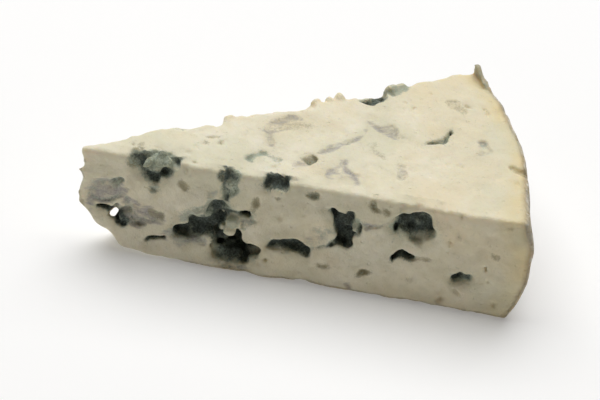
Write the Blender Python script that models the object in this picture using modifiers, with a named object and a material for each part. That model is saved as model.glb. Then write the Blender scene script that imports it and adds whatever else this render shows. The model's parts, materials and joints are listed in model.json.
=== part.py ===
"""A wedge of blue cheese: one solid, knifed out of a low round wheel that keeps its natural rind.

The wheel is turned, two knife cuts free the wedge, and then the pockets that the blue mould leaves in
the paste, the chipped edges and the crumbled tip are taken out of it. Metres, +Z up, +X from the tip to
the rind, with the origin under the middle of the wedge's box.
"""

import math
from typing import NamedTuple

import bmesh
import bpy
from mathutils import Matrix, Vector, noise

MM = 0.001

# Driving dimensions.
WHEEL_RADIUS = 65.0 * MM
WHEEL_HEIGHT = 17.2 * MM
WEDGE_ANGLE = math.radians(33.5)

# The rind's outline, as shares of the radius and the height.
BULGE = 0.016 * WHEEL_RADIUS
BULGE_AT = 0.55 * WHEEL_HEIGHT
FOOT_INSET = 0.018 * WHEEL_RADIUS
FOOT_ROUND = 0.26 * WHEEL_HEIGHT
TOP_EASE = 0.35 * MM
PROFILE_STEPS = 7
WHEEL_STEPS = 144

TIP_BLUNT = 1.6 * MM  # how far the crumbled tip stops short of the wheel's axis
KNIFE_MARGIN = 6.0 * MM
LUMP_PITCH = 1.6  # noise cells across a lump of radius one
LUMP_ROUGHNESS = 0.34

SMOOTH_FROM = 1.9 * MM  # lumps with a half length above this are made finer

FLAP_HEIGHT = 1.5 * MM
FLAP_WIDTH = 3.4 * MM
FLAP_THICKNESS = 0.9 * MM

CHEESE_COLOUR = (0.80, 0.75, 0.58, 1.0)
CHEESE_ROUGHNESS = 0.55


class Pocket(NamedTuple):
    """A pocket in a face: its middle, half length, half height and depth in mm, and its tilt in degrees."""

    along: float
    across: float
    length: float
    height: float
    depth: float
    tilt: float = 0.0


# On the cut faces, along runs from the wheel's axis to the rind and across is the height above the foot.
FRONT_POCKETS = (
    Pocket(6.4, 6.6, 2.4, 1.6, 0.9, -36),
    Pocket(5.6, 9.8, 2.0, 1.1, 0.5, 44),
    Pocket(10.9, 7.4, 2.3, 1.1, 0.6, 20),
    Pocket(12.2, 16.4, 2.9, 1.7, 1.7, 6),
    Pocket(22.6, 15.2, 1.3, 3.1, 1.5, -4),
    Pocket(20.6, 8.0, 4.8, 2.3, 2.4, 36),
    Pocket(24.5, 4.1, 3.0, 2.3, 3.8, -10),
    Pocket(13.3, 3.2, 1.5, 0.6, 0.8, 22),
    Pocket(29.2, 16.1, 1.4, 0.9, 1.1, 6),
    Pocket(35.3, 15.6, 1.2, 0.6, 0.7, -4),
    Pocket(32.2, 6.6, 2.1, 0.9, 1.3, -24),
    Pocket(36.2, 7.2, 2.4, 0.7, 1.2, 26),
    Pocket(39.6, 9.4, 1.4, 2.2, 1.6, -14),
    Pocket(39.2, 12.4, 1.5, 1.4, 1.8, 30),
    Pocket(43.8, 15.8, 0.8, 0.9, 0.7, 0),
    Pocket(49.0, 13.6, 2.6, 2.0, 2.1, 4),
    Pocket(48.2, 7.7, 1.7, 0.5, 1.5, 26),
    Pocket(57.2, 6.1, 1.2, 0.8, 1.2, 20),
    Pocket(37.8, 3.8, 0.8, 0.6, 0.6, 0),
    Pocket(43.5, 3.9, 0.7, 0.6, 0.6, 0),
)
BACK_POCKETS = (
    Pocket(8.4, 9.6, 2.2, 1.2, 1.0, 30),
    Pocket(17.6, 5.2, 2.6, 1.6, 1.8, -24),
    Pocket(25.5, 10.6, 3.4, 1.4, 1.9, 14),
    Pocket(31.0, 4.6, 1.6, 1.3, 1.4, 0),
    Pocket(36.6, 8.8, 1.8, 2.4, 1.7, -12),
    Pocket(45.8, 4.8, 3.2, 1.2, 1.9, -20),
    Pocket(52.6, 11.2, 1.6, 1.2, 1.4, 10),
    Pocket(57.2, 6.6, 1.3, 0.8, 1.1, 0),
    Pocket(13.4, 13.2, 1.2, 0.7, 0.8, 0),
)
# On the top, along runs as +X does and across as +Y.
TOP_POCKETS = (
    Pocket(27.0, -2.1, 2.0, 0.8, 0.7, 20),
    Pocket(34.0, -3.1, 1.4, 0.9, 0.9, 34),
    Pocket(53.6, 1.6, 2.0, 0.8, 1.1, 36),
    Pocket(31.0, 5.3, 2.7, 0.8, 0.5, 14),
    Pocket(28.8, 2.8, 0.7, 1.9, 0.4, 0),
    Pocket(45.5, 3.9, 2.0, 0.8, 0.5, -58),
    Pocket(37.4, -6.4, 1.2, 2.4, 0.4, -14),
    Pocket(59.0, -0.8, 1.9, 1.0, 0.5, 58),
)


class Chip(NamedTuple):
    """A bite out of an edge or corner: its place by distance from the axis, angle and height, and half sizes."""

    radius: float
    angle: float
    height: float
    length: float
    width: float
    depth: float
    turn: float = 0.0


CHIPS = {
    "far_edge_inner": Chip(20.0, 16.9, 17.6, 3.7, 1.2, 1.3, 17),
    "far_edge_outer": Chip(46.8, 16.9, 17.9, 2.4, 2.9, 2.4, 17),
    "far_edge_dip": Chip(53.2, 16.8, 17.5, 1.2, 0.8, 0.9, 17),
    "tip_foot": Chip(-0.6, 0.0, -1.9, 7.6, 6.0, 8.6, 0),
    "tip_ragged": Chip(1.0, 0.0, 11.4, 1.1, 1.4, 1.7, 0),
    "tip_nibble": Chip(1.1, 0.0, 15.6, 0.8, 1.2, 0.6, 0),
    "rind_nick": Chip(64.7, -5.8, 17.2, 1.7, 0.6, 0.9, -40),
    "rind_crease": Chip(66.5, 5.6, 6.4, 0.7, 3.4, 0.8, 6),
    "rind_pit": Chip(66.5, -8.4, 11.6, 0.6, 1.8, 1.2, -8),
}
TIP_HOLE = Pocket(6.8, 7.0, 0.8, 0.6, 4.6, 50)
CURD_LUMP = Chip(51.4, 16.2, 17.1, 1.7, 1.1, 1.1, 17)


def new_object(name, bm, collection):
    """Turns a bmesh into an object of its own."""
    mesh = bpy.data.meshes.new(name)
    bm.to_mesh(mesh)
    bm.free()
    made = bpy.data.objects.new(name, mesh)
    collection.objects.link(made)
    return made


def new_collection(name):
    made = bpy.data.collections.new(name)
    bpy.context.scene.collection.children.link(made)
    return made


def rind_radius(height):
    """The wheel's radius at a height: drawn in at the foot, fullest above the middle, eased at the top."""
    if height < FOOT_ROUND:
        rise = 1.0 - height / FOOT_ROUND
        inset = FOOT_INSET * (1.0 - math.sqrt(max(0.0, 1.0 - rise * rise * 0.96)))
    else:
        inset = 0.0
    swell = 1.0 - ((height - BULGE_AT) / (WHEEL_HEIGHT - BULGE_AT)) ** 2
    ease = TOP_EASE * max(0.0, 1.0 - (WHEEL_HEIGHT - height) / (2.0 * TOP_EASE)) ** 2
    return WHEEL_RADIUS + BULGE * max(swell, 0.0) - inset - ease


def make_wheel(collection):
    """The whole wheel, turned about Z from its outline."""
    foot = [FOOT_ROUND * (i / PROFILE_STEPS) ** 2 for i in range(PROFILE_STEPS)]
    wall_step = (WHEEL_HEIGHT - 2.0 * TOP_EASE - FOOT_ROUND) / PROFILE_STEPS
    wall = [FOOT_ROUND + wall_step * i for i in range(PROFILE_STEPS + 1)]
    heights = foot + wall + [WHEEL_HEIGHT - TOP_EASE, WHEEL_HEIGHT]
    side = [Vector((rind_radius(z), 0.0, z)) for z in reversed(heights)]
    outline = [Vector((0.0, 0.0, WHEEL_HEIGHT)), *side, Vector((0.0, 0.0, 0.0))]
    bm = bmesh.new()
    points = [bm.verts.new(p) for p in outline]
    for a, b in zip(points, points[1:]):
        bm.edges.new((a, b))
    wheel = new_object("cheese_wedge", bm, collection)
    screw = wheel.modifiers.new("turned", "SCREW")
    screw.steps = screw.render_steps = WHEEL_STEPS
    screw.use_merge_vertices = True
    screw.merge_threshold = 0.00001
    screw.use_smooth_shade = False
    return wheel


def make_knife(collection):
    """The wedge that the two cuts leave, as a prism with its blunt tip towards the wheel's axis."""
    half = WEDGE_ANGLE / 2.0
    reach = (WHEEL_RADIUS + KNIFE_MARGIN) / math.cos(half)
    corners = [
        Vector((TIP_BLUNT, -TIP_BLUNT * math.tan(half), 0.0)),
        Vector((reach * math.cos(half), -reach * math.sin(half), 0.0)),
        Vector((reach * math.cos(half), reach * math.sin(half), 0.0)),
        Vector((TIP_BLUNT, TIP_BLUNT * math.tan(half), 0.0)),
    ]
    bm = bmesh.new()
    base = bm.faces.new([bm.verts.new(c - Vector((0, 0, KNIFE_MARGIN))) for c in corners])
    raised = bmesh.ops.extrude_face_region(bm, geom=[base])
    lifted = [v for v in raised["geom"] if isinstance(v, bmesh.types.BMVert)]
    bmesh.ops.translate(bm, verts=lifted, vec=(0, 0, WHEEL_HEIGHT + 2.0 * KNIFE_MARGIN))
    bmesh.ops.recalc_face_normals(bm, faces=bm.faces)
    return new_object("knife", bm, collection)


def lump(name, half_sizes, matrix, collection):
    """A lumpy pebble: a ball pushed in and out by smooth noise, then sized and placed."""
    bm = bmesh.new()
    detail = 3 if max(half_sizes) > SMOOTH_FROM else 2
    bmesh.ops.create_icosphere(bm, subdivisions=detail, radius=1.0)
    own = matrix.translation * (LUMP_PITCH / (7.0 * MM))
    for v in bm.verts:
        v.co *= 1.0 + LUMP_ROUGHNESS * noise.noise(v.co * LUMP_PITCH + own)
    bm.transform(matrix @ Matrix.Diagonal((*half_sizes, 1.0)))
    if bm.calc_volume(signed=True) < 0.0:
        bmesh.ops.reverse_faces(bm, faces=bm.faces)
    return new_object(name, bm, collection)


def face_matrix(origin, along, across, outward):
    """A frame on a face, from where it starts and its three directions."""
    matrix = Matrix((along, across, outward)).transposed().to_4x4()
    matrix.translation = origin
    return matrix


def cut_face_frame(side):
    """The frame of a cut face: side -1 is the front one, +1 the back one."""
    angle = side * WEDGE_ANGLE / 2.0
    along = Vector((math.cos(angle), math.sin(angle), 0.0))
    outward = Vector((-side * math.sin(angle), side * math.cos(angle), 0.0))
    return face_matrix(Vector(), along, Vector((0, 0, 1)), outward)


def place_on(frame, pocket):
    tilt = Matrix.Rotation(math.radians(pocket.tilt), 4, "Z")
    return frame @ Matrix.Translation((pocket.along * MM, pocket.across * MM, 0.0)) @ tilt


def cut_pockets(prefix, frame, pockets, collection):
    """One lump for each pocket, half sunk in the face."""
    for number, pocket in enumerate(pockets, 1):
        sizes = (pocket.length * MM, pocket.height * MM, pocket.depth * MM)
        lump(f"{prefix}_pocket_{number}", sizes, place_on(frame, pocket), collection)


def place_at(chip):
    angle = math.radians(chip.angle)
    radius = chip.radius * MM
    place = Matrix.Translation((radius * math.cos(angle), radius * math.sin(angle), chip.height * MM))
    return place @ Matrix.Rotation(math.radians(chip.turn), 4, "Z")


def chip_sizes(chip):
    return (chip.length * MM, chip.width * MM, chip.depth * MM)


def make_flap(collection):
    """The lip of rind that the knife drew up at the far corner: a thin pointed tongue."""
    bm = bmesh.new()
    bmesh.ops.create_cone(
        bm, cap_ends=True, segments=10, radius1=1.0, radius2=0.18, depth=1.0
    )
    half = WEDGE_ANGLE / 2.0
    corner = WHEEL_RADIUS - TOP_EASE - FLAP_THICKNESS / 2.0
    angle = half - (FLAP_WIDTH / 2.0 + 0.3 * MM) / WHEEL_RADIUS
    height = FLAP_HEIGHT + 1.5 * MM
    base = WHEEL_HEIGHT + FLAP_HEIGHT - height / 2.0
    place = Matrix.Translation((corner * math.cos(angle), corner * math.sin(angle), base))
    sizes = Matrix.Diagonal((FLAP_THICKNESS / 2.0, FLAP_WIDTH / 2.0, height, 1.0))
    bm.transform(place @ Matrix.Rotation(angle, 4, "Z") @ sizes)
    return new_object("rind_flap", bm, collection)


def add_boolean(target, name, operation, operand):
    """A Boolean with one object, or with all the objects of a collection."""
    boolean = target.modifiers.new(name, "BOOLEAN")
    boolean.operation = operation
    boolean.solver = "EXACT"
    if isinstance(operand, bpy.types.Collection):
        boolean.operand_type = "COLLECTION"
        boolean.collection = operand
    else:
        boolean.object = operand


def hide_helpers(collection):
    """Knives, cutters and what is joined on show as wires and stay out of the model."""
    for helper in collection.objects:
        helper.hide_render = True
        helper.display_type = "WIRE"


def cheese_material():
    material = bpy.data.materials.new("blue_cheese")
    material.use_nodes = True
    shader = material.node_tree.nodes["Principled BSDF"]
    shader.inputs["Base Color"].default_value = CHEESE_COLOUR
    shader.inputs["Roughness"].default_value = CHEESE_ROUGHNESS
    return material


def finish_solid(wedge):
    """Applies the cuts, puts the origin under the middle of the wedge's box and gives it its material."""
    bpy.context.view_layer.update()
    graph = bpy.context.evaluated_depsgraph_get()
    cut = bpy.data.meshes.new_from_object(wedge.evaluated_get(graph))
    wedge.modifiers.clear()
    wedge.data = cut
    low = [min(v.co[i] for v in cut.vertices) for i in range(3)]
    high = [max(v.co[i] for v in cut.vertices) for i in range(3)]
    middle = Vector(((low[0] + high[0]) / 2.0, (low[1] + high[1]) / 2.0, low[2]))
    cut.transform(Matrix.Translation(-middle))
    cut.materials.clear()
    cut.materials.append(cheese_material())


def main():
    for old in list(bpy.data.objects):
        bpy.data.objects.remove(old)
    model = new_collection("blue_cheese_wedge")
    joined = new_collection("joined_on")
    cutters = new_collection("cutters")
    knives = new_collection("knives")

    wedge = make_wheel(model)
    knife = make_knife(knives)
    make_flap(joined)
    lump("curd_lump", chip_sizes(CURD_LUMP), place_at(CURD_LUMP), joined)

    top_frame = Matrix.Translation((0.0, 0.0, WHEEL_HEIGHT))
    cut_pockets("front", cut_face_frame(-1), FRONT_POCKETS, cutters)
    cut_pockets("back", cut_face_frame(1), BACK_POCKETS, cutters)
    cut_pockets("top", top_frame, TOP_POCKETS, cutters)
    cut_pockets("tip_hole", cut_face_frame(-1), (TIP_HOLE,), cutters)
    for name, chip in CHIPS.items():
        lump(name, chip_sizes(chip), place_at(chip), cutters)

    add_boolean(wedge, "knife_cuts", "INTERSECT", knife)
    add_boolean(wedge, "joined_on", "UNION", joined)
    add_boolean(wedge, "mould_pockets", "DIFFERENCE", cutters)
    for helpers in (joined, cutters, knives):
        hide_helpers(helpers)
    finish_solid(wedge)


main()
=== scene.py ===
import json
import math

import bpy
import numpy as np
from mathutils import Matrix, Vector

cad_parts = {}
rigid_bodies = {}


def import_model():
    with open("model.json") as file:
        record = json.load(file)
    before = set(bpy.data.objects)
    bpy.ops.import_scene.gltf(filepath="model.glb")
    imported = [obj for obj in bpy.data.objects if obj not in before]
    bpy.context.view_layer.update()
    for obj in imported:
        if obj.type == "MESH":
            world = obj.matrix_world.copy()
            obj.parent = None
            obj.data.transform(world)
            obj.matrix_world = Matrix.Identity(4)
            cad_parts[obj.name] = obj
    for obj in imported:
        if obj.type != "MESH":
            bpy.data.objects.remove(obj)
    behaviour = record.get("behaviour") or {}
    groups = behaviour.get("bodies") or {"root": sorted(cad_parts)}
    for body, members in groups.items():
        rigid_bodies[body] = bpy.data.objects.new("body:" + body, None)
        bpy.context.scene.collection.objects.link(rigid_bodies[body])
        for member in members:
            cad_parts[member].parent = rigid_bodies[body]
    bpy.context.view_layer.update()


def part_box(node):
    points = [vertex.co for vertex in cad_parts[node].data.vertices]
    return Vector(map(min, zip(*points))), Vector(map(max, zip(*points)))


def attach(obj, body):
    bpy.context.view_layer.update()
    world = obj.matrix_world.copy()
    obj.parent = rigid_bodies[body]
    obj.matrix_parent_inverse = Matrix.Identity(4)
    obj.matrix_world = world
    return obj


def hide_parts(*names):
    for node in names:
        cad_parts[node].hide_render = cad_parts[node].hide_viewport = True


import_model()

import openvdb
from mathutils import Matrix, Vector

# The wedge's body is carved in a field of distances, in millimetres, in the cheese wheel's own frame: its
# axis is Z through the wedge's tip, and X runs to the rind. The field is meshed and moved into the row frame.

SEED = 20117

WHEEL_RADIUS = 65.0
WHEEL_HEIGHT = 17.2
HALF_ANGLE = math.radians(33.5 / 2.0)
BULGE = 0.016 * WHEEL_RADIUS
BULGE_AT = 0.55 * WHEEL_HEIGHT
FOOT_INSET = 0.018 * WHEEL_RADIUS
FOOT_ROUND = 0.26 * WHEEL_HEIGHT
TIP_BLUNT = 1.6

# The grid's step, the room around the wedge, half the wedge's width and the crumb's rise over the top.
VOXEL = 0.275
MARGIN = 1.6
HALF_WIDTH = 19.1
CRUMB_RISE = 2.0

MARGIN_REACH = 25.0  # how far in from the rind the margin mask runs, in mm

# The stage and the camera, in metres and degrees.
FLOOR_REACH = 3.0
FLOOR_TONE = 0.80
FLOOR_GLOW = 0.20  # a faint emission that lightens the shadow
WORLD_STRENGTH = 0.04
CAMERA_DISTANCE = 0.515
CAMERA_ROLL = 8.2
CAMERA_LENS = 215.0
CAMERA_TARGET = (0.0, 0.0, 0.0075)

CAMERA_AZIMUTH = math.radians(-13.8)
CAMERA_ELEVATION = math.radians(36.7)
AWAY = np.array([
    math.sin(CAMERA_AZIMUTH) * math.cos(CAMERA_ELEVATION),
    -math.cos(CAMERA_AZIMUTH) * math.cos(CAMERA_ELEVATION),
    math.sin(CAMERA_ELEVATION),
])

CAD_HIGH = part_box("cheese_wedge")[1]
AXIS_X = CAD_HIGH.x * 1000.0 - WHEEL_RADIUS - BULGE


# ---------------------------------------------------------------- fields on a regular grid

GRID_X = np.arange(-MARGIN, WHEEL_RADIUS + BULGE + MARGIN, VOXEL)
GRID_Y = np.arange(-HALF_WIDTH - MARGIN, HALF_WIDTH + MARGIN, VOXEL)
GRID_Z = np.arange(-MARGIN, WHEEL_HEIGHT + CRUMB_RISE + MARGIN, VOXEL)
GRID = (GRID_X, GRID_Y, GRID_Z)
LOW = np.array([GRID_X[0], GRID_Y[0], GRID_Z[0]])


def spline_weights(coordinates, pitch, start, count):
    """Cubic B-spline weights of each coordinate on a lattice."""
    s = (coordinates - start) / pitch + 1.0
    cell = np.floor(s).astype(int)
    t = s - cell
    weights = np.zeros((len(coordinates), count))
    rows = np.arange(len(coordinates))
    parts = ((1 - t) ** 3, 3 * t**3 - 6 * t**2 + 4, -3 * t**3 + 3 * t**2 + 3 * t + 1, t**3)
    for offset, part in enumerate(parts):
        weights[rows, cell - 1 + offset] += part / 6.0
    return weights


def noise_field(pitch, seed, stretch=(1.0, 1.0, 1.0)):
    """Smooth random field over the grid with a standard deviation of about one."""
    rng = np.random.default_rng(SEED + seed)
    weights, counts = [], []
    for axis, factor in zip(GRID, stretch):
        step = pitch * factor
        count = int((axis[-1] - axis[0]) / step) + 5
        weights.append(spline_weights(axis, step, axis[0], count))
        counts.append(count)
    lattice = rng.standard_normal(counts)
    field = np.einsum("ai,ijk->ajk", weights[0], lattice, optimize=True)
    field = np.einsum("bj,ajk->abk", weights[1], field, optimize=True)
    field = np.einsum("ck,abk->abc", weights[2], field, optimize=True)
    return (field * 3.0).astype(np.float32)


def sample(field, points):
    """Trilinear reading of a grid field at points."""
    place = (points - LOW) / VOXEL
    cell = np.clip(np.floor(place).astype(int), 0, np.array(field.shape) - 2)
    t = place - cell
    total = np.zeros(len(points))
    for corner in range(8):
        step = np.array([corner & 1, (corner >> 1) & 1, corner >> 2])
        weight = np.prod(np.where(step, t, 1.0 - t), axis=1)
        i, j, k = (cell + step).T
        total += weight * field[i, j, k]
    return total


def smooth_max(a, b, radius):
    """The larger of two fields, rounded where they meet."""
    h = np.clip(0.5 + 0.5 * (a - b) / radius, 0.0, 1.0)
    return b + (a - b) * h + radius * h * (1.0 - h)


def ramp(x, low, high):
    t = np.clip((x - low) / (high - low), 0.0, 1.0)
    return t * t * (3.0 - 2.0 * t)


# ---------------------------------------------------------------- the wedge's faces


def face_axes(side):
    angle = side * HALF_ANGLE
    along = np.array([math.cos(angle), math.sin(angle), 0.0])
    outward = np.array([-side * math.sin(angle), side * math.cos(angle), 0.0])
    return along, np.array([0.0, 0.0, 1.0]), outward, np.zeros(3)


FACES = {
    "front": face_axes(-1),
    "back": face_axes(1),
    "top": (np.array([1.0, 0, 0]), np.array([0, 1.0, 0]), np.array([0, 0, 1.0]),
            np.array([0, 0, WHEEL_HEIGHT])),
}


def rind_radius(z):
    rise = np.clip(1.0 - z / FOOT_ROUND, 0.0, 1.0)
    inset = FOOT_INSET * (1.0 - np.sqrt(np.clip(1.0 - rise * rise * 0.96, 0.0, 1.0)))
    swell = np.clip(1.0 - ((z - BULGE_AT) / (WHEEL_HEIGHT - BULGE_AT)) ** 2, 0.0, None)
    return WHEEL_RADIUS + BULGE * swell - inset


# ---------------------------------------------------------------- veins, pockets and stains
# Each is a path of (along, across, half width) on a face, in mm, with a depth. "ink" is the near-black
# crevice, "blue" the pale mould, "violet" the greyed paste round it and "olive" the brown-green stains.


def vein(face, path, depth, ink=0.0, blue=0.0, violet=0.0, olive=0.0, halo=0.5, rough=0.30):
    return {"face": face, "path": np.array(path, float), "depth": depth, "halo": halo, "rough": rough,
            "tint": (ink, blue, violet, olive)}


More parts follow.
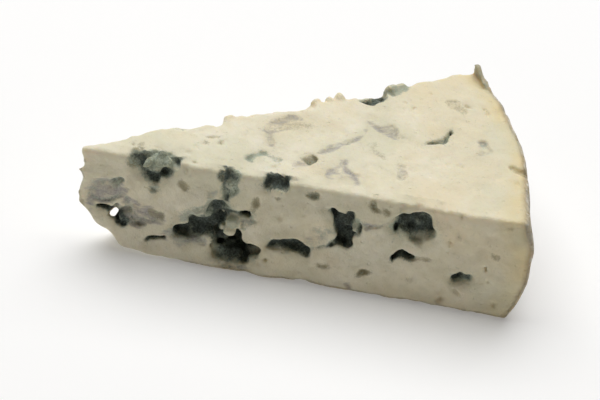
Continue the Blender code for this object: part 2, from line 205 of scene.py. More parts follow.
VEINS = [
    # front cut face, from the tip to the rind
    vein("front", [(9.9, 16.2, 0.7), (12.4, 16.6, 1.1), (14.6, 16.8, 0.7)], 1.1, ink=0.5, blue=0.7),
    vein("front", [(10.4, 15.6, 0.7), (12.2, 15.1, 1.0), (14.2, 15.5, 0.7)], 1.3, ink=1.0, blue=0.15),
    vein("front", [(9.3, 15.7, 0.3), (9.9, 17.0, 0.3)], 0.4, ink=0.3, olive=0.8),
    vein("front", [(12.2, 12.9, 0.5)], 0.6, ink=0.7, olive=0.6),
    vein("front", [(16.6, 13.9, 0.5)], 0.2, olive=0.9),
    vein("front", [(6.9, 12.1, 0.45), (7.7, 12.4, 0.4)], 0.5, ink=0.7, violet=0.6),
    vein("front", [(3.8, 8.0, 0.7), (5.2, 10.0, 1.1), (7.6, 11.0, 0.9)], 0.35, violet=1.0, ink=0.2),
    vein("front", [(3.6, 8.8, 0.3), (5.4, 9.0, 0.35), (7.0, 10.2, 0.3)], 0.5, ink=0.6, violet=0.8),
    vein("front", [(8.6, 9.2, 0.8), (10.8, 8.3, 1.0), (13.0, 7.3, 0.6)], 0.3, violet=1.0, ink=0.15),
    vein("front", [(12.2, 7.9, 0.35), (13.2, 7.6, 0.3)], 0.3, olive=0.7, ink=0.3),
    vein("front", [(7.9, 6.4, 1.2), (10.2, 6.3, 1.2)], 0.7, violet=0.9, ink=0.45, olive=0.3),
    vein("front", [(10.6, 5.8, 0.4), (12.0, 6.9, 0.35)], 0.4, ink=0.4, violet=0.8),
    vein("front", [(3.4, 9.6, 0.3), (5.0, 11.4, 0.35), (6.6, 12.0, 0.3)], 0.3, ink=0.4, violet=0.9),
    vein("front", [(8.4, 9.8, 0.25), (9.2, 8.0, 0.3), (9.0, 6.6, 0.3)], 0.4, ink=0.55, violet=0.7),
    vein("front", [(2.6, 6.6, 0.6), (4.4, 5.2, 0.6)], 0.15, violet=0.6, olive=0.3),
    vein("front", [(15.0, 4.8, 0.9), (17.0, 4.6, 0.9), (19.6, 4.9, 0.7)], 0.12, violet=0.8, blue=0.35),
    vein("front", [(17.2, 8.2, 0.7), (18.4, 9.6, 0.8)], 0.12, violet=0.6, blue=0.45),
    vein("front", [(18.4, 8.3, 0.8), (20.2, 9.4, 1.0)], 0.6, ink=0.85, blue=0.3),
    vein("front", [(26.0, 11.2, 0.5), (26.2, 9.4, 0.5)], 0.12, violet=0.5, blue=0.4),
    vein("front", [(20.0, 12.4, 0.6), (21.0, 13.6, 0.4)], 0.12, violet=0.5, blue=0.3),
    vein("front", [(6.6, 6.7, 0.5), (7.0, 7.6, 0.4)], 1.2, ink=0.5, rough=0.15),
    vein("front", [(4.9, 7.4, 0.35), (5.8, 6.5, 0.5), (7.0, 5.5, 0.45), (8.5, 5.1, 0.4)], 1.5, ink=1.0),
    vein("front", [(12.6, 2.9, 0.4), (14.1, 3.5, 0.35)], 0.7, ink=0.8, olive=0.4),
    vein("front", [(14.2, 3.6, 0.25), (16.6, 5.0, 0.3)], 0.3, violet=0.9, ink=0.2),
    vein("front", [(17.0, 5.8, 1.1), (18.8, 6.4, 1.7), (20.6, 7.2, 2.1), (21.4, 8.8, 1.9)], 1.7,
         ink=1.0, blue=0.25),
    vein("front", [(20.0, 9.6, 1.0), (22.6, 10.2, 1.0), (25.0, 10.5, 0.8)], 1.1, ink=0.95, blue=0.1),
    vein("front", [(18.3, 10.0, 0.6), (20.4, 10.9, 0.8), (23.4, 11.4, 0.7)], 0.35, ink=0.45, blue=0.5,
         olive=0.3, violet=0.5),
    vein("front", [(21.9, 5.3, 0.8), (23.2, 6.0, 0.8)], 2.2, ink=1.0),
    vein("front", [(22.9, 4.4, 1.4), (24.4, 4.6, 2.0), (25.9, 4.1, 1.7)], 4.4, ink=1.0, rough=0.32),
    vein("front", [(22.8, 3.1, 1.1), (25.2, 3.0, 1.2)], 3.2, ink=1.0, rough=0.32),
    vein("front", [(21.9, 17.2, 0.5), (22.6, 16.0, 0.6), (22.1, 14.2, 0.6), (22.7, 12.6, 0.6)], 0.9,
         ink=0.8, blue=0.5),
    vein("front", [(23.4, 17.0, 0.4), (23.6, 15.4, 0.45), (23.3, 13.6, 0.4)], 0.4, ink=0.5, blue=0.9),
    vein("front", [(20.9, 16.7, 0.5), (21.8, 16.5, 0.5)], 0.6, ink=0.7, olive=0.7),
    vein("front", [(24.6, 10.9, 0.4), (25.8, 9.0, 0.3), (25.9, 8.0, 0.3)], 0.5, ink=0.5, blue=0.3),
    vein("front", [(26.8, 13.2, 0.5)], 0.35, olive=0.9, ink=0.2),
    vein("front", [(28.4, 15.8, 0.7), (29.9, 16.4, 0.8)], 1.1, ink=0.9, olive=0.4),
    vein("front", [(34.6, 15.5, 0.5), (36.0, 15.8, 0.45)], 0.6, ink=0.55, olive=0.8),
    vein("front", [(35.2, 8.4, 0.9), (37.2, 9.6, 0.9)], 0.08, violet=0.5, blue=0.15),
    vein("front", [(29.6, 5.7, 0.4), (31.3, 6.8, 1.0), (33.0, 6.5, 1.0), (34.8, 5.9, 0.7)], 1.2, ink=1.0),
    vein("front", [(33.8, 6.2, 0.6), (36.0, 6.9, 0.5), (37.8, 8.0, 0.7), (39.2, 8.6, 1.0)], 0.9, ink=0.85,
         blue=0.2),
    vein("front", [(40.0, 8.5, 1.1), (39.8, 10.1, 1.3), (39.3, 11.8, 1.4), (38.5, 12.9, 1.1)], 1.5, ink=1.0),
    vein("front", [(36.6, 9.2, 0.7), (37.8, 10.4, 0.6)], 0.1, blue=0.35, violet=0.6),
    vein("front", [(40.9, 11.4, 0.5), (41.8, 12.9, 0.4)], 0.4, blue=0.6, ink=0.4),
    vein("front", [(40.6, 13.8, 0.2), (41.6, 12.2, 0.25), (42.2, 10.9, 0.2)], 0.8, ink=0.8),
    vein("front", [(34.4, 7.7, 0.5), (35.8, 8.3, 0.5)], 0.1, blue=0.3, violet=0.3),
    vein("front", [(43.2, 12.2, 0.4), (44.5, 12.6, 0.25), (46.3, 13.1, 0.25)], 0.4, violet=1.0, ink=0.35),
    vein("front", [(43.5, 16.0, 0.6), (43.8, 15.5, 0.4)], 0.6, olive=1.0, ink=0.4),
    vein("front", [(45.0, 15.2, 0.4)], 0.3, olive=0.9),
    vein("front", [(47.7, 12.8, 1.3), (50.4, 13.1, 1.3)], 1.4, ink=1.0, blue=0.3),
    vein("front", [(48.1, 14.3, 1.1), (50.1, 14.5, 1.0)], 1.4, ink=0.95, blue=0.3),
    vein("front", [(51.2, 12.9, 0.4), (52.0, 12.4, 0.3)], 0.6, ink=0.6),
    vein("front", [(46.9, 7.0, 0.35), (47.6, 7.3, 0.4), (48.4, 8.0, 0.35), (49.6, 8.1, 0.3)], 1.6, ink=1.0),
    vein("front", [(50.4, 8.0, 0.2), (52.4, 8.3, 0.3)], 0.15, olive=0.6, violet=0.4),
    vein("front", [(56.5, 6.0, 0.75), (57.9, 6.3, 0.65)], 1.3, ink=1.0, blue=0.2),
    vein("front", [(60.8, 10.3, 0.4)], 0.15, olive=0.6),
    vein("front", [(37.4, 3.8, 0.5), (38.2, 3.7, 0.4)], 0.35, olive=0.9, ink=0.15),
    vein("front", [(43.5, 3.9, 0.45)], 0.4, olive=0.9, ink=0.3),
    vein("front", [(41.8, 1.4, 0.5)], 0.3, violet=0.8, ink=0.2),
    vein("front", [(33.6, 0.5, 0.6), (34.8, 0.5, 0.5)], 0.5, ink=0.7, olive=0.5),
    vein("front", [(23.0, 1.2, 0.4), (26.0, 0.9, 0.4)], 0.3, ink=0.4, violet=0.6),
    vein("front", [(1.7, 15.0, 0.25), (1.6, 11.5, 0.3), (1.5, 8.2, 0.4), (2.0, 6.8, 0.35)], 0.2,
         olive=0.6, violet=0.6),
    vein("front", [(3.0, 5.2, 0.4), (5.6, 3.3, 0.4), (7.4, 1.9, 0.3)], 0.2, olive=0.5, violet=0.4),
    # cut top
    vein("top", [(43.8, 11.2, 0.3), (45.4, 10.9, 0.35), (46.8, 11.1, 0.45), (47.4, 12.6, 0.35)], 0.9,
         ink=0.85, blue=0.2),
    vein("top", [(16.0, 4.5, 0.3), (17.0, 4.8, 0.3)], 0.4, ink=0.6, violet=0.5),
    vein("top", [(10.2, -2.4, 0.5), (12.0, -2.4, 0.9), (13.7, -2.9, 0.7)], 0.5, ink=0.3, blue=0.75),
    vein("top", [(9.3, -1.4, 0.35), (10.2, -1.0, 0.3)], 0.2, ink=0.3, olive=0.7),
    vein("top", [(21.6, -6.0, 0.6), (22.6, -6.8, 0.5)], 0.8, ink=0.8, blue=0.4),
    vein("top", [(25.0, -3.3, 0.3), (26.2, -2.3, 0.45), (27.6, -1.6, 0.5)], 0.4, ink=0.4, blue=0.6,
         olive=0.3),
    vein("top", [(27.6, -1.8, 0.3), (28.9, -3.4, 0.3)], 0.2, ink=0.15, blue=0.4, violet=0.4),
    vein("top", [(33.3, -3.5, 0.5), (34.6, -2.7, 0.5)], 0.7, ink=0.5, olive=0.8),
    vein("top", [(31.4, -4.9, 0.2), (33.0, -4.0, 0.2)], 0.1, violet=0.7),
    vein("top", [(35.6, -1.7, 0.25), (37.6, -0.4, 0.3), (40.0, 1.0, 0.3), (42.8, 3.2, 0.3)], 0.2, violet=0.8),
    vein("top", [(36.2, -7.6, 0.5), (36.6, -6.0, 0.55), (37.9, -4.4, 0.5)], 0.3, violet=1.0, ink=0.2),
    vein("top", [(38.9, -4.2, 0.35), (38.4, -6.4, 0.5), (38.8, -8.7, 0.4)], 0.3, violet=1.0, ink=0.15),
    vein("top", [(44.2, 5.8, 0.6), (45.4, 4.0, 0.9), (46.5, 2.6, 0.7)], 0.25, violet=0.8, olive=0.2),
    vein("top", [(42.8, 0.1, 0.5), (43.4, -2.0, 0.5)], 0.1, olive=0.35, violet=0.3),
    vein("top", [(46.4, -4.6, 0.4), (46.0, -7.2, 0.4)], 0.15, violet=0.45, olive=0.3),
    vein("top", [(51.7, 0.2, 0.2), (53.2, 1.1, 0.5), (54.2, 1.8, 0.45), (55.2, 3.2, 0.2)], 0.8, ink=0.8,
         blue=0.3),
    vein("top", [(56.8, 10.2, 0.4), (57.6, 8.0, 0.5)], 0.15, olive=0.4, violet=0.2),
    vein("top", [(58.1, -2.4, 0.6), (59.5, -0.7, 0.7), (59.9, 0.8, 0.4)], 0.3, violet=0.6, ink=0.1),
    vein("top", [(59.8, 0.3, 0.3)], 0.4, ink=0.5),
    vein("top", [(28.5, 0.6, 0.5), (28.9, 3.6, 0.8), (31.0, 5.6, 1.0), (32.8, 6.7, 0.8)], 0.2, violet=0.6,
         olive=0.35),
    vein("top", [(31.2, 5.1, 0.7), (34.8, 5.3, 1.0)], 0.15, olive=0.4, violet=0.4),
    # back cut face
    vein("back", [(7.4, 9.0, 0.8), (9.4, 10.2, 0.9)], 1.0, ink=0.8, blue=0.5),
    vein("back", [(15.8, 6.2, 1.1), (18.4, 5.0, 1.4), (20.0, 4.0, 0.7)], 1.8, ink=1.0, blue=0.3),
    vein("back", [(12.6, 13.0, 0.6), (14.2, 13.4, 0.5)], 0.8, ink=0.7, olive=0.5),
    vein("back", [(22.6, 9.6, 0.8), (25.2, 10.5, 1.3), (28.4, 11.8, 0.8)], 1.9, ink=1.0, blue=0.5),
    vein("back", [(28.4, 11.8, 0.4), (31.6, 13.6, 0.3), (33.4, 15.8, 0.3)], 0.6,
         ink=0.6, blue=0.6, violet=0.5),
    vein("back", [(30.2, 4.5, 1.0), (31.8, 4.8, 1.0)], 1.4, ink=0.9, olive=0.3),
    vein("back", [(36.2, 6.8, 1.0), (36.8, 9.2, 1.4), (36.2, 11.2, 0.8)], 1.7, ink=0.95, blue=0.4),
    vein("back", [(38.6, 8.0, 0.5), (41.0, 6.6, 0.4), (43.4, 5.6, 0.5)], 0.6, ink=0.5, violet=0.7, blue=0.4),
    vein("back", [(43.6, 5.6, 0.9), (46.4, 4.5, 1.0), (48.4, 3.9, 0.5)], 1.9, ink=1.0),
    vein("back", [(51.6, 11.0, 0.9), (53.6, 11.6, 0.8)], 1.4, ink=0.9, blue=0.4),
    vein("back", [(47.6, 13.8, 0.5)], 0.5, olive=0.9, ink=0.2),
    vein("back", [(57.2, 6.6, 0.7)], 1.1, ink=0.9),
    vein("back", [(19.6, 13.2, 0.9), (21.6, 14.6, 0.8)], 0.25, violet=0.9, ink=0.1),
    vein("back", [(10.8, 4.4, 0.8), (12.6, 3.2, 0.8)], 0.25, violet=0.8),
    vein("back", [(27.0, 6.6, 0.4)], 0.5, olive=0.9, ink=0.3),
    vein("back", [(24.2, 2.6, 0.5)], 0.4, olive=0.9),
    vein("back", [(60.4, 11.4, 0.4)], 0.2, olive=0.7),
]

# The hole right through by the tip, as tubes from the front face away from the eye: (along, across, radius).
HOLES = [(6.7, 6.7, 0.50), (7.0, 7.4, 0.46)]

# Lumps of curd that stand up inside or beside a pocket: (face, along, across, outward, radius, mould).
LUMPS = [
    ("top", 12.3, -2.7, -0.75, 0.9, 0.7),
    ("top", 13.5, -3.2, -0.7, 0.6, 0.8),
    ("top", 10.9, -2.7, -0.6, 0.55, 0.6),
    ("front", 23.4, 7.3, -0.35, 0.75, 0.45),
    ("front", 23.8, 8.7, -0.4, 0.8, 0.6),
    ("front", 23.1, 14.9, -0.45, 0.45, 0.8),
    ("top", 48.7, 13.7, -0.55, 1.15, 0.7),
    ("top", 50.1, 14.5, -0.65, 1.0, 0.7),
    ("top", 37.2, 11.3, -0.25, 0.85, 0.1),
    ("top", 38.6, 11.4, -0.45, 0.75, 0.0),
    ("top", 40.4, 11.8, -0.5, 0.7, 0.0),
    ("top", 23.5, 6.8, -0.45, 0.65, 0.0),
    ("top", 28.0, -4.4, -0.65, 0.8, 0.0),
    ("back", 24.6, 10.9, -0.8, 0.8, 0.9),
    ("back", 36.8, 9.8, -0.9, 0.8, 0.9),
]

# How much of the far top edge has crumbled off, in mm across the bevel, at places along X.
EDGE_LOSS = [(0.0, -0.4), (15.4, -0.2), (16.3, 0.45), (18.4, 0.55), (20.4, 0.85), (22.3, 0.95), (22.8, -0.3),
             (25.0, 0.15), (29.0, 0.6), (34.0, 0.95), (36.3, 1.15), (36.8, -0.5), (38.2, -0.2), (40.0, 0.3),
             (42.2, 0.6), (43.2, 1.1), (44.6, 1.3), (46.6, 1.8), (47.3, 1.7), (47.9, -0.2), (50.6, -0.1),
             (51.0, 0.8), (51.8, 0.5), (53.0, 0.1), (65.0, -0.1)]

# Bites out of the edges: centre in the wheel's frame, half sizes and turn about Z in degrees.
CHIPS = [
    ((1.2, 0.2, 11.3), (0.9, 1.2, 1.2), 0),
    ((1.4, -0.4, 14.6), (0.5, 0.9, 0.5), 0),
    ((1.0, 0.3, 8.4), (0.5, 1.0, 0.5), 0),
    ((64.3, -6.6, 17.3), (1.6, 0.5, 0.9), -40),
    ((66.4, 7.4, 6.4), (0.8, 3.4, 0.7), 6),
    ((66.6, -9.6, 11.6), (0.9, 1.8, 1.1), -8),
    ((66.6, -3.0, 4.4), (0.8, 1.4, 0.9), -3),
    ((65.6, 12.6, 12.2), (0.9, 1.2, 1.6), 10),
]


def scattered_pits(count):
    """Small pinholes and crumbled spots over the cut faces, some of them stained."""
    rng = np.random.default_rng(SEED + 50)
    found = []
    while len(found) < count:
        face = ("front", "back", "top")[rng.integers(3)]
        u = rng.uniform(4.0, 63.0)
        if face == "top":
            v = rng.uniform(-1.0, 1.0) * u * math.tan(HALF_ANGLE)
        else:
            v = rng.uniform(0.6, WHEEL_HEIGHT - 0.3)
            if v < 6.8 - 0.87 * (u - 1.8):
                continue
        if any(np.hypot(*(item["path"][:, :2] - (u, v)).T).min() < 3.4 for item in VEINS
               if item["face"] == face and item["depth"] > 1.4):
            continue
        radius = rng.uniform(0.12, 0.28) * (1.0 + 0.6 * (rng.random() < 0.12))
        stain = rng.random() ** 3 * (0.8 if u < 57.0 else 0.2)
        tip = rng.uniform(-0.5, 0.5, 2)
        found.append(vein(face, [(u, v, radius), (u + tip[0], v + tip[1], radius * 0.7)],
                          rng.uniform(0.15, 0.5), ink=0.35 * stain, olive=0.7 * stain, violet=0.6 * stain,
                          halo=0.45, rough=0.3))
    return found


VEINS += scattered_pits(120)


def vein_distance(points, item, warp):
    """Distance in mm to a vein's tube, flattened to its depth, and its plain distance along the face."""
    along, across, outward, origin = FACES[item["face"]]
    local = points - origin
    u, v, n = local @ along + warp[0], local @ across + warp[1], local @ outward
    path = item["path"]
    best = np.full(len(points), 1e3)
    flat = np.full(len(points), 1e3)
    segments = list(zip(path[:-1], path[1:])) or [(path[0], path[0])]
    for a, b in segments:
        step = b[:2] - a[:2]
        length2 = float(step @ step)
        t = np.zeros(len(points))
        if length2 > 0:
            t = np.clip(((u - a[0]) * step[0] + (v - a[1]) * step[1]) / length2, 0.0, 1.0)
        radius = a[2] + (b[2] - a[2]) * t
        aside = np.hypot(u - a[0] - step[0] * t, v - a[1] - step[1] * t)
        squash = np.where(n > 0, 0.6, radius / item["depth"])
        best = np.minimum(best, np.hypot(aside, n * squash) - radius)
        flat = np.minimum(flat, aside - radius)
    return best, flat, n


def window(centre, reach):
    """Slices of the grid round a box in the wheel's frame."""
    cut = []
    for axis, middle, extent in zip(GRID, centre, reach):
        start = int(np.searchsorted(axis, middle - extent))
        stop = int(np.searchsorted(axis, middle + extent))
        cut.append(slice(max(start, 0), min(stop, len(axis))))
    return tuple(cut)


def window_points(cut):
    mesh = np.meshgrid(*(axis[s] for axis, s in zip(GRID, cut)), indexing="ij")
    return np.stack([m.ravel() for m in mesh], 1), mesh[0].shape


def carve(field, noises):
    """Takes the pockets and chips out of the field and adds the lumps."""
    for item in VEINS:
        along, across, outward, origin = FACES[item["face"]]
        path = item["path"]
        low, high = path[:, :2].min(0), path[:, :2].max(0)
        middle = (low + high) / 2.0
        reach = path[:, 2].max() + 1.2
        centre = origin + along * middle[0] + across * middle[1]
        half = np.abs(along) * ((high[0] - low[0]) / 2 + reach) + np.abs(across) * (
            (high[1] - low[1]) / 2 + reach) + np.abs(outward) * (item["depth"] + 1.2)
        cut = window(centre, half)
        points, shape = window_points(cut)
        warp = [noises[name][cut].ravel() for name in ("warp_u", "warp_v")]
        distance, _, _ = vein_distance(points, item, warp)
        distance = distance.reshape(shape)
        width = float(path[:, 2].mean())
        rough = item["rough"] * min(width, 1.3)
        distance = distance + rough * (0.8 * noises["mid"][cut] + 0.9 * noises["fine"][cut])
        field[cut] = smooth_max(field[cut], -distance, 0.45)
        if item["depth"] > 0.9:
            dent = 0.22 * ramp(-distance, -1.1, 0.0) * (1.0 + 0.8 * noises["curd"][cut])
            field[cut] = field[cut] + np.clip(dent, 0.0, 0.5)
    for u, v, radius in HOLES:
        along, across, outward, _ = FACES["front"]
        start = along * u + across * v + AWAY * 1.5
        cut = window(start - AWAY * 5.5, [6.5] * 3)
        points, shape = window_points(cut)
        t = np.clip((points - start) @ -AWAY, 0.0, 11.0)
        distance = (np.linalg.norm(points - start + t[:, None] * AWAY, axis=1) - radius).reshape(shape)
        distance = distance + 0.07 * noises["fine"][cut]
        field[cut] = smooth_max(field[cut], -distance, 0.2)
    for centre, sizes, turn in CHIPS:
        cut = window(centre, [max(sizes) + 1.2] * 3)
        points, shape = window_points(cut)
        c, s = math.cos(math.radians(turn)), math.sin(math.radians(turn))
        local = points - np.array(centre)
        along, across = local[:, 0] * c + local[:, 1] * s, local[:, 1] * c - local[:, 0] * s
        local = np.stack([along, across, local[:, 2]], 1)
        scaled = np.linalg.norm(local / np.array(sizes), axis=1)
        distance = ((scaled - 1.0) * min(sizes)).reshape(shape)
        distance = distance + 0.16 * noises["mid"][cut] + 0.12 * noises["fine"][cut]
        field[cut] = smooth_max(field[cut], -distance, 0.3)
    for face, u, v, n, radius, _ in LUMPS:
        along, across, outward, origin = FACES[face]
        centre = origin + along * u + across * v + outward * n
        cut = window(centre, [radius + 1.5] * 3)
        points, shape = window_points(cut)
        distance = (np.linalg.norm(points - centre, axis=1) - radius).reshape(shape)
        distance = distance + 0.2 * noises["fine"][cut] + 0.12 * noises["mid"][cut]
        field[cut] = -smooth_max(-field[cut], -distance, 0.3)
    return field


def rind_relief(broad, lumpy, mid):
    """How far the dried rind is drawn in, in mm."""
    return 0.20 * broad + 0.16 * lumpy + 0.08 * mid + 0.15


def wedge_field():
    """The whole body's field: negative inside."""
    noises = {
        "broad": noise_field(9.0, 1),
        "lumpy": noise_field(4.2, 2),
        "mid": noise_field(1.7, 3),
        "fine": noise_field(0.75, 4),
        "curd": noise_field(1.1, 8),
        "drag": noise_field(1.6, 5, stretch=(6.0, 1.0, 1.0)),
    }
    noises["warp_u"] = 0.34 * noise_field(1.5, 6) + 0.13 * noises["fine"]
    noises["warp_v"] = 0.34 * noise_field(1.5, 7) + 0.13 * noises["mid"]
    x, y, z = np.meshgrid(*GRID, indexing="ij", sparse=True)
    sine, cosine = math.sin(HALF_ANGLE), math.cos(HALF_ANGLE)
    crumb = 0.06 * noises["mid"] + 0.035 * noises["fine"]
    front = -x * sine - y * cosine + 0.08 * noises["lumpy"] + crumb
    back = -x * sine + y * cosine + 0.10 * noises["lumpy"] + 1.3 * crumb
    top = z - WHEEL_HEIGHT + 0.05 * noises["lumpy"] + 0.5 * crumb + 0.02 * noises["drag"]
    radius = np.hypot(x, y)
    rind = radius - rind_radius(z) + rind_relief(noises["broad"], noises["lumpy"], noises["mid"])
    foot = np.maximum(0.16 + 0.05 * noises["lumpy"] + 0.03 * noises["mid"], 0.03) - z
    foot = foot + 0.55 * ramp(-x, -22.0, -7.0)
    tip = TIP_BLUNT - x + 0.25 * noises["mid"] + 0.22 * noises["fine"]
    broken = (6.4 - 0.87 * (x - 1.8) - z) / 1.32 + 0.25 * noises["lumpy"] + 0.22 * noises["mid"]
    field = smooth_max(smooth_max(front, back, 0.5), tip, 0.7)
    field = smooth_max(field, broken, 0.7)
    field = smooth_max(field, top, 0.9)
    loss = np.interp(x, *zip(*EDGE_LOSS))
    far_edge = -x * sine + y * cosine
    bevel = 0.6 * far_edge + 0.8 * (z - WHEEL_HEIGHT) + loss + 0.14 * noises["mid"] + 0.12 * noises["fine"]
    field = smooth_max(field, bevel, 0.3)
    field = smooth_max(field, foot, 0.5)
    field = smooth_max(field, rind, 0.45)
    field = field + 0.04 * np.clip(noises["curd"], 0.0, 2.0) ** 2
    field = carve(field.astype(np.float32), noises)
    return add_flap(field, noises), noises


def add_flap(field, noises):
    """The pointed lip of rind that stands up at the far corner."""
    angle = HALF_ANGLE - 2.4 / WHEEL_RADIUS
    out = np.array([math.cos(angle), math.sin(angle), 0.0])
    side = np.array([-math.sin(angle), math.cos(angle), 0.0])
    cut = window(out * WHEEL_RADIUS + np.array([0, 0, WHEEL_HEIGHT]), (4.5, 4.5, 3.4))
    points, shape = window_points(cut)
    depth = points @ out - (WHEEL_RADIUS - 0.65) + 0.10 * (points[:, 2] - WHEEL_HEIGHT)
    across = points @ side
    height = points[:, 2] - WHEEL_HEIGHT
    half = np.clip(1.15 * (2.15 - height), 0.0, 3.2)
    distance = np.maximum(np.abs(depth) - 0.36, (np.abs(across - 0.85 * height + 0.5) - half) * 0.65)
    distance = np.maximum(distance, np.maximum(height - 1.9, -height - 1.4)).reshape(shape)
    distance = distance + 0.06 * noises["fine"][cut] + 0.05 * noises["mid"][cut]
    field[cut] = -smooth_max(-field[cut], -distance, 0.25)
    return field


# ---------------------------------------------------------------- mesh and its masks


def mesh_field(field):
    """Points in mm and quads of the field's zero surface, wound outwards."""
    grid = openvdb.FloatGrid(3.0)
    grid.copyFromArray(np.clip(field, -3.0, 3.0).astype(np.float32))
    points, quads = grid.convertToQuads(isovalue=0.0)
    points = np.asarray(points, float) * VOXEL + LOW
    quads = np.asarray(quads, int)
    a, b, c, d = (points[quads[:, i]] for i in range(4))
    volume = np.einsum("ij,ij->", a, np.cross(b, c)) + np.einsum("ij,ij->", a, np.cross(c, d))
    return points, (quads if volume > 0 else quads[:, ::-1])


def keep_main_body(points, quads):
    """Drops crumbs that the carving cut loose."""
    label = np.arange(len(points))
    while True:
        lowest = label[quads].min(axis=1)
        new = label.copy()
        for i in range(4):
            np.minimum.at(new, quads[:, i], lowest)
        new = new[new]
        if np.array_equal(new, label):
            break
        label = new
    counts = np.bincount(label)
    keep = label == counts.argmax()
    index = np.cumsum(keep) - 1
    return points[keep], index[quads[keep[quads[:, 0]]]]


def vertex_masks(points, noises):
    """The four tints and the rind, margin, haze and depth masks at each vertex; the haze also holds painted
    shade on every face below the top, and the depth mask painted shade, partly dark mould, deep in the
    pockets.
    """
    wobble = sample(noises["fine"], points)
    swirl = sample(noises["mid"], points)
    broad = sample(noises["lumpy"], points)
    warp = [sample(noises[name], points) for name in ("warp_u", "warp_v")]
    tints = np.zeros((len(points), 4))
    deep_mould_and_shade = np.zeros(len(points))
    haze_and_side_shade = np.zeros(len(points))
    for item in VEINS:
        _, flat, n = vein_distance(points, item, warp)
        inside = (flat < 6.0) & (n > -(item["depth"] + 0.9)) & (n < 1.2)
        ink, blue, violet, olive = item["tint"]
        width = min(float(item["path"][:, 2].mean()), 1.4)
        edge = flat + 0.16 * wobble + 0.14 * swirl
        reach = item["halo"] * (0.9 + 1.3 * width)
        cover = ramp(-edge, -reach, 0.35 * width) * inside
        fringe = ramp(-edge, -2.6 * reach, 0.1) * inside
        # The ink grows stronger deeper below the face: dark mould, partly mixed with painted shade in the
        # pockets.
        sunk = ramp(-n, 0.05, 0.8) if item["depth"] > 0.65 else np.full(len(points), 0.75)
        tints[:, 0] = np.maximum(tints[:, 0], ink * cover * (0.65 + 0.35 * sunk))
        tints[:, 1] = np.maximum(tints[:, 1], blue * cover + 0.26 * max(blue, 0.8 * ink) * fringe)
        tints[:, 2] = np.maximum(tints[:, 2], violet * ramp(-edge, -0.9, 0.4) * inside)
        tints[:, 3] = np.maximum(tints[:, 3], olive * cover)
        # Painted shade, partly dark mould: the depth mask darkens the paste deeper inside each pocket.
        if item["depth"] > 0.65:
            deep_mould_and_shade = np.maximum(deep_mould_and_shade, cover * ramp(-n, 0.4, max(item["depth"] * 0.8, 1.6)))
        strength = max(ink, blue, 0.6 * violet) * min(1.0, item["path"][:, 2].mean() / 0.8)
        haze_and_side_shade = np.maximum(haze_and_side_shade, strength * np.exp(-((np.maximum(flat, 0.0) / 2.2) ** 2)) * inside)
    for face, u, v, n, radius, mould in LUMPS:
        along, across, outward, origin = FACES[face]
        centre = origin + along * u + across * v + outward * n
        distance = np.linalg.norm(points - centre, axis=1) - radius - 0.25
        on = ramp(-distance, -0.5, 0.1)
        tints[:, 0] *= 1 - 0.9 * on
        deep_mould_and_shade *= 1 - 0.9 * on
        tints[:, 1] = np.maximum(tints[:, 1], on * mould * np.clip(0.85 + 0.25 * wobble, 0, 1))
    x, y, z = points.T
    # Painted shade: every face below the top also gets the grey haze, so the cut sides come out darker than
    # the top.
    upright = ramp(WHEEL_HEIGHT - z, 0.1, 1.2)
    haze_and_side_shade = np.maximum(haze_and_side_shade, upright * np.clip(0.40 + 0.12 * broad, 0.0, 1.0))
    outside = np.hypot(x, y) - rind_radius(np.clip(z, 0, WHEEL_HEIGHT))
    outside = outside + rind_relief(sample(noises["broad"], points), broad, swirl)
    side = ramp(outside, -0.62, -0.30)
    below = ramp(-z, -0.66 - 0.10 * np.clip(swirl, -2.0, 2.0), -0.38)
    margin = np.clip(1.0 + (outside + 0.35 * broad * ramp(-outside, 0.5, 3.0)) / MARGIN_REACH, 0.0, 1.0)
    lip = ramp(z, WHEEL_HEIGHT + 0.1, WHEEL_HEIGHT + 0.5) * (np.hypot(x, y) > 62.5)
    rind = np.maximum(np.maximum(side * (1.0 - lip), below), 0.2 * lip)
    tints[:, 2] = np.maximum(tints[:, 2], 0.6 * lip)
    tints[:, 1] = np.maximum(tints[:, 1], 0.5 * lip)
    return tints, np.stack([rind, margin, haze_and_side_shade, deep_mould_and_shade], 1)


def build_body():
    field, noises = wedge_field()
    points, quads = mesh_field(field)
    points, quads = keep_main_body(points, quads)
    tints, skin_and_shade = vertex_masks(points, noises)
    mesh = bpy.data.meshes.new("cheese_body")
    row = points / 1000.0 + np.array([AXIS_X / 1000.0, 0.0, 0.0])
    mesh.vertices.add(len(row))
    mesh.vertices.foreach_set("co", row.astype(np.float32).ravel())
    mesh.loops.add(quads.size)
    mesh.loops.foreach_set("vertex_index", quads.ravel().astype(np.int32))
    mesh.polygons.add(len(quads))
    mesh.polygons.foreach_set("loop_start", np.arange(0, quads.size, 4, dtype=np.int32))
    mesh.update(calc_edges=True)
    mesh.validate()
    mesh.polygons.foreach_set("use_smooth", np.ones(len(mesh.polygons), bool))
    # The second attribute holds the rind and margin masks and also painted shade: the haze on the faces below
    # the top and the darkening deep in the pockets.
    for name, values in (("veins", tints), ("skin_and_shade", skin_and_shade)):
        attribute = mesh.color_attributes.new(name, "FLOAT_COLOR", "POINT")
        attribute.data.foreach_set("color", np.clip(values, 0, 1).astype(np.float32).ravel())
    body = bpy.data.objects.new("cheese_body", mesh)
    bpy.context.scene.collection.objects.link(body)
    print("body:", len(points), "points,", len(quads) * 2, "triangles")
    return body


# ---------------------------------------------------------------- materials


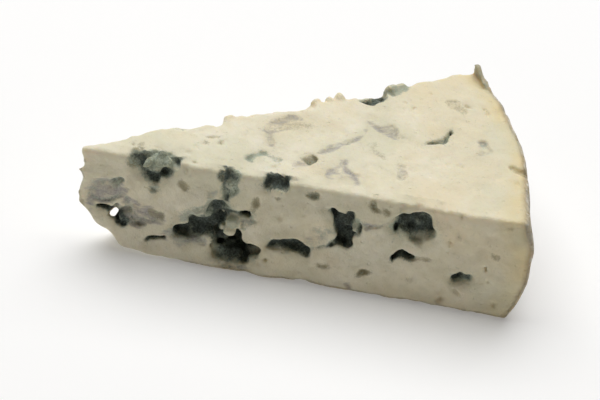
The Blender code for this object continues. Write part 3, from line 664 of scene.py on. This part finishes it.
class Nodes:
    """Short ways to add and link shader nodes."""

    def __init__(self, name):
        self.material = bpy.data.materials.new(name)
        self.material.use_nodes = True
        self.tree = self.material.node_tree
        self.shader = self.tree.nodes["Principled BSDF"]

    def put(self, value, socket):
        if isinstance(value, bpy.types.NodeSocket):
            self.tree.links.new(value, socket)
        else:
            socket.default_value = value

    def add(self, kind, **settings):
        node = self.tree.nodes.new(kind)
        for key, value in settings.items():
            setattr(node, key, value)
        return node

    def coordinates(self, stretch=(1.0, 1.0, 1.0), shift=(0.0, 0.0, 0.0)):
        """Object coordinates in mm."""
        place = self.add("ShaderNodeTexCoord")
        mapping = self.add("ShaderNodeMapping")
        mapping.inputs["Scale"].default_value = tuple(1000.0 * s for s in stretch)
        mapping.inputs["Location"].default_value = shift
        self.put(place.outputs["Object"], mapping.inputs["Vector"])
        return mapping.outputs["Vector"]

    def noise(self, vector, size, detail=3.0, rough=0.55, distortion=0.0):
        node = self.add("ShaderNodeTexNoise")
        self.put(vector, node.inputs["Vector"])
        node.inputs["Scale"].default_value = 1.0 / size
        node.inputs["Detail"].default_value = detail
        node.inputs["Roughness"].default_value = rough
        node.inputs["Distortion"].default_value = distortion
        return node.outputs["Fac"]

    def cells(self, vector, size, feature="F1"):
        node = self.add("ShaderNodeTexVoronoi", feature=feature)
        self.put(vector, node.inputs["Vector"])
        node.inputs["Scale"].default_value = 1.0 / size
        return node.outputs["Distance"]

    def math(self, kind, a, b=0.0, clamp=False):
        node = self.add("ShaderNodeMath", operation=kind, use_clamp=clamp)
        self.put(a, node.inputs[0])
        self.put(b, node.inputs[1])
        return node.outputs[0]

    def ramp(self, value, low, high, to_low=0.0, to_high=1.0, smooth=True):
        node = self.add("ShaderNodeMapRange", interpolation_type="SMOOTHSTEP" if smooth else "LINEAR")
        self.put(value, node.inputs["Value"])
        for name, number in (("From Min", low), ("From Max", high), ("To Min", to_low), ("To Max", to_high)):
            self.put(number, node.inputs[name])
        return node.outputs["Result"]

    def mix(self, factor, a, b, blend="MIX"):
        node = self.add("ShaderNodeMix", data_type="RGBA", blend_type=blend, clamp_factor=True)
        self.put(factor, node.inputs[0])
        self.put(a, node.inputs[6])
        self.put(b, node.inputs[7])
        return node.outputs[2]

    def attribute(self, name):
        node = self.add("ShaderNodeAttribute", attribute_name=name)
        split = self.add("ShaderNodeSeparateColor")
        self.put(node.outputs["Color"], split.inputs[0])
        return split.outputs[0], split.outputs[1], split.outputs[2], node.outputs["Alpha"]


def srgb(r, g, b):
    """Linear colour from display values of 0 to 255."""
    def channel(c):
        c /= 255.0
        return c / 12.92 if c <= 0.04045 else ((c + 0.055) / 1.055) ** 2.4
    return (channel(r), channel(g), channel(b), 1.0)


def cheese_material():
    m = Nodes("blue_cheese")
    at = m.coordinates()
    ink, blue, violet, olive = m.attribute("veins")
    # The last two channels here carry painted shade: the side haze and the pocket depth.
    rind, margin, haze_and_side_shade, deep_mould_and_shade = m.attribute("skin_and_shade")

    broad = m.noise(at, 9.0, detail=2.0)
    patchy = m.noise(at, 2.6, detail=4.0, rough=0.6)
    grain = m.noise(at, 0.55, detail=4.0, rough=0.65)
    speck = m.noise(at, 0.30, detail=3.0, rough=0.7)
    curd = m.cells(at, 1.3, "SMOOTH_F1")

    paste = m.mix(m.ramp(broad, 0.35, 0.65), srgb(232, 225, 198), srgb(239, 233, 211))
    paste = m.mix(m.ramp(patchy, 0.40, 0.70, 0.0, 0.55), paste, srgb(226, 218, 190))
    paste = m.mix(m.ramp(grain, 0.50, 0.75, 0.0, 0.35), paste, srgb(246, 241, 224))
    paste = m.mix(m.ramp(curd, 0.05, 0.45, 0.25, 0.0), paste, srgb(214, 205, 172))
    paste = m.mix(m.ramp(margin, 0.0, 0.9, 0.0, 0.45), paste, srgb(229, 216, 182))
    yellow = m.math("MULTIPLY", m.ramp(margin, 0.80, 0.96), m.ramp(patchy, 0.25, 0.75, 0.45, 0.9))
    paste = m.mix(yellow, paste, srgb(229, 211, 160))
    rim = m.math("MULTIPLY", m.ramp(margin, 0.945, 0.982), m.ramp(patchy, 0.3, 0.7, 0.5, 0.95))
    paste = m.mix(rim, paste, srgb(186, 166, 128))
    drift = m.noise(m.coordinates(shift=(61.0, 3.0, 47.0)), 14.0, detail=2.0)
    paste = m.mix(m.ramp(drift, 0.50, 0.66, 0.0, 0.45), paste, srgb(234, 218, 182))
    paste = m.mix(m.ramp(drift, 0.48, 0.34, 0.0, 0.45), paste, srgb(217, 215, 188))
    # The grey-green haze round the veins, plus painted shade that darkens every face below the top.
    clouded_and_side_shade = m.math("MULTIPLY", haze_and_side_shade, m.ramp(patchy, 0.25, 0.75, 0.25, 0.60))
    paste = m.mix(clouded_and_side_shade, paste, srgb(180, 173, 142))

    tufts = m.noise(m.coordinates(shift=(3.0, 17.0, 29.0)), 0.9, detail=5.0, rough=0.7)

    def ragged(mask, amount, sharp):
        """A mask whose edge breaks up into grains."""
        grit = m.math("ADD", m.math("MULTIPLY", speck, 0.65), m.math("MULTIPLY", tufts, 0.35))
        shifted = m.math("ADD", mask, m.math("MULTIPLY", m.math("SUBTRACT", grit, 0.5), amount))
        return m.ramp(shifted, 0.5 - sharp, 0.5 + sharp)

    streaks_at = m.coordinates(stretch=(0.5, 1.0, 1.2), shift=(13.0, 7.0, 19.0))
    streaks = m.noise(streaks_at, 1.1, detail=4.0, rough=0.6, distortion=0.8)
    grey = m.mix(m.ramp(speck, 0.30, 0.70), srgb(150, 144, 142), srgb(186, 180, 172))
    smear = m.math("ADD", violet, m.math("MULTIPLY", m.math("SUBTRACT", streaks, 0.50), 2.6))
    colour = m.mix(m.math("MULTIPLY", m.ramp(smear, 0.15, 1.25, 0.0, 0.9), m.ramp(violet, 0.02, 0.35)), paste,
                   grey)
    stain = m.mix(m.ramp(speck, 0.35, 0.65), srgb(108, 98, 62), srgb(156, 145, 106))
    colour = m.mix(m.math("MULTIPLY", ragged(olive, 2.0, 0.40), 0.75), colour, stain)

    pale = m.mix(m.ramp(speck, 0.30, 0.70), srgb(128, 139, 124), srgb(190, 197, 176))
    black = m.mix(m.ramp(speck, 0.35, 0.70), srgb(44, 56, 54), srgb(114, 129, 120))
    # The mould goes from pale to near black, and the depth mask adds painted shade deeper in the pockets.
    shade = m.math("SUBTRACT", m.math("ADD", ink, m.math("MULTIPLY", deep_mould_and_shade, 0.5)),
                   m.math("MULTIPLY", blue, 0.55))
    colonies = m.noise(m.coordinates(shift=(23.0, 7.0, 53.0)), 1.9, detail=3.0, rough=0.6)
    shade = m.math("ADD", shade, m.math("MULTIPLY", m.math("SUBTRACT", tufts, 0.5), 2.6))
    shade = m.math("ADD", shade, m.math("MULTIPLY", m.math("SUBTRACT", colonies, 0.5), 3.0))
    mould_colour = m.mix(m.ramp(shade, 0.20, 1.15), pale, black)
    cover = ragged(m.math("MAXIMUM", ink, blue), 2.4, 0.34)
    colour = m.mix(m.math("MULTIPLY", cover, 0.95), colour, mould_colour)
    # Painted shade, partly dark mould: the paste goes near black deeper inside the pockets.
    colour = m.mix(m.math("MULTIPLY", deep_mould_and_shade, 0.42), colour, srgb(36, 38, 30))

    bloom = m.noise(at, 3.4, detail=5.0, rough=0.65)
    blotch = m.noise(m.coordinates(shift=(37.0, 11.0, 5.0)), 5.5, detail=4.0, rough=0.6)
    dust = m.noise(m.coordinates(shift=(5.0, 41.0, 23.0)), 0.7, detail=5.0, rough=0.7)
    crust = m.mix(m.ramp(blotch, 0.38, 0.62), srgb(193, 179, 150), srgb(182, 177, 161))
    crust = m.mix(m.ramp(bloom, 0.50, 0.64, 0.0, 0.8), crust, srgb(218, 213, 202))
    crust = m.mix(m.ramp(bloom, 0.45, 0.32), crust, srgb(157, 139, 106))
    crust = m.mix(m.ramp(dust, 0.53, 0.70), crust, srgb(226, 222, 207))
    crust = m.mix(m.ramp(dust, 0.42, 0.30), crust, srgb(108, 93, 70))
    rings = m.cells(at, 2.2)
    crust = m.mix(m.math("MULTIPLY", m.ramp(rings, 0.24, 0.12), m.ramp(bloom, 0.42, 0.6)), crust,
                  srgb(234, 232, 222))
    colour = m.mix(rind, colour, crust)
    m.put(colour, m.shader.inputs["Base Color"])

    mould = m.math("MAXIMUM", m.math("MAXIMUM", ink, blue), m.math("MULTIPLY", violet, 0.6))
    rough = m.ramp(grain, 0.3, 0.7, 0.42, 0.58)
    rough = m.math("ADD", rough, m.math("MULTIPLY", m.math("MAXIMUM", mould, rind), 0.36), clamp=True)
    m.put(rough, m.shader.inputs["Roughness"])

    relief = m.math("ADD", m.math("MULTIPLY", grain, 0.16), m.math("MULTIPLY", speck, 0.09))
    relief = m.math("ADD", relief, m.math("MULTIPLY", curd, 0.07))
    pores = m.cells(m.coordinates(shift=(19.0, 31.0, 2.0)), 1.5)
    relief = m.math("ADD", relief, m.ramp(pores, 0.06, 0.16, -0.10, 0.0))
    fuzz = m.math("MULTIPLY", m.math("MULTIPLY", mould, speck), 0.16)
    relief = m.math("ADD", relief, fuzz)
    scurf = m.math("ADD", m.math("MULTIPLY", dust, 0.45), m.math("MULTIPLY", bloom, 0.5))
    relief = m.math("ADD", relief, m.math("MULTIPLY", m.math("MULTIPLY", rind, scurf), 0.9))
    bump = m.add("ShaderNodeBump")
    bump.inputs["Strength"].default_value = 0.8
    bump.inputs["Distance"].default_value = 0.001
    m.put(relief, bump.inputs["Height"])
    m.put(bump.outputs["Normal"], m.shader.inputs["Normal"])

    m.shader.inputs["Subsurface Weight"].default_value = 0.35
    m.shader.inputs["Subsurface Radius"].default_value = (1.0, 0.75, 0.42)
    m.shader.inputs["Subsurface Scale"].default_value = 0.0014
    m.shader.inputs["Specular IOR Level"].default_value = 0.35
    return m.material


def floor_material():
    m = Nodes("studio_floor")
    m.shader.inputs["Base Color"].default_value = (FLOOR_TONE, FLOOR_TONE, FLOOR_TONE, 1.0)
    m.shader.inputs["Emission Color"].default_value = (1.0, 1.0, 1.0, 1.0)
    m.shader.inputs["Emission Strength"].default_value = FLOOR_GLOW
    m.shader.inputs["Roughness"].default_value = 0.9
    m.shader.inputs["Specular IOR Level"].default_value = 0.1
    return m.material


# ---------------------------------------------------------------- stage, lights and camera


def make_floor():
    mesh = bpy.data.meshes.new("floor")
    corners = [(x * FLOOR_REACH, y * FLOOR_REACH, 0) for x, y in ((-1, -1), (1, -1), (1, 1), (-1, 1))]
    mesh.from_pydata(corners, [], [(0, 1, 2, 3)])
    floor = bpy.data.objects.new("floor", mesh)
    bpy.context.scene.collection.objects.link(floor)
    mesh.materials.append(floor_material())


def area_light(name, place, target, size, power, colour=(1.0, 1.0, 1.0)):
    data = bpy.data.lights.new(name, "AREA")
    data.shape = "RECTANGLE"
    data.size, data.size_y = size
    data.energy = power
    data.color = colour
    light = bpy.data.objects.new(name, data)
    light.location = place
    light.rotation_euler = (Vector(target) - Vector(place)).to_track_quat("-Z", "Y").to_euler()
    bpy.context.scene.collection.objects.link(light)


def light_stage():
    world = bpy.data.worlds.new("studio")
    bpy.context.scene.world = world
    world.use_nodes = True
    world.node_tree.nodes["Background"].inputs["Color"].default_value = (1.0, 1.0, 1.0, 1.0)
    world.node_tree.nodes["Background"].inputs["Strength"].default_value = WORLD_STRENGTH
    area_light("overhead", (0.05, 0.50, 1.15), (0.0, 0.0, 0.0), (1.7, 1.3), 22.6, (1.0, 0.995, 0.985))
    area_light("tip_fill", (-0.13, -0.19, 0.045), (-0.026, -0.004, 0.006), (0.10, 0.10), 0.025,
               (1.0, 0.93, 0.82))
    area_light("front_fill", (0.45, -0.75, 0.35), (0.0, 0.0, 0.01), (0.5, 0.4), 0.12, (1.0, 0.70, 0.36))


def place_camera():
    away = Vector(AWAY)
    data = bpy.data.cameras.new("camera")
    data.lens = CAMERA_LENS
    data.sensor_width = 36.0
    data.clip_start = 0.02
    camera = bpy.data.objects.new("camera", data)
    turn = away.to_track_quat("Z", "Y").to_matrix().to_4x4()
    turn = turn @ Matrix.Rotation(math.radians(CAMERA_ROLL), 4, "Z")
    camera.matrix_world = Matrix.Translation(Vector(CAMERA_TARGET) + away * CAMERA_DISTANCE) @ turn
    bpy.context.scene.collection.objects.link(camera)
    bpy.context.scene.camera = camera


# ---------------------------------------------------------------- putting it together

body = build_body()
body.data.materials.append(cheese_material())
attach(body, "root")
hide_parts("cheese_wedge")

make_floor()
light_stage()
place_camera()
bpy.context.scene.view_settings.view_transform = "Standard"
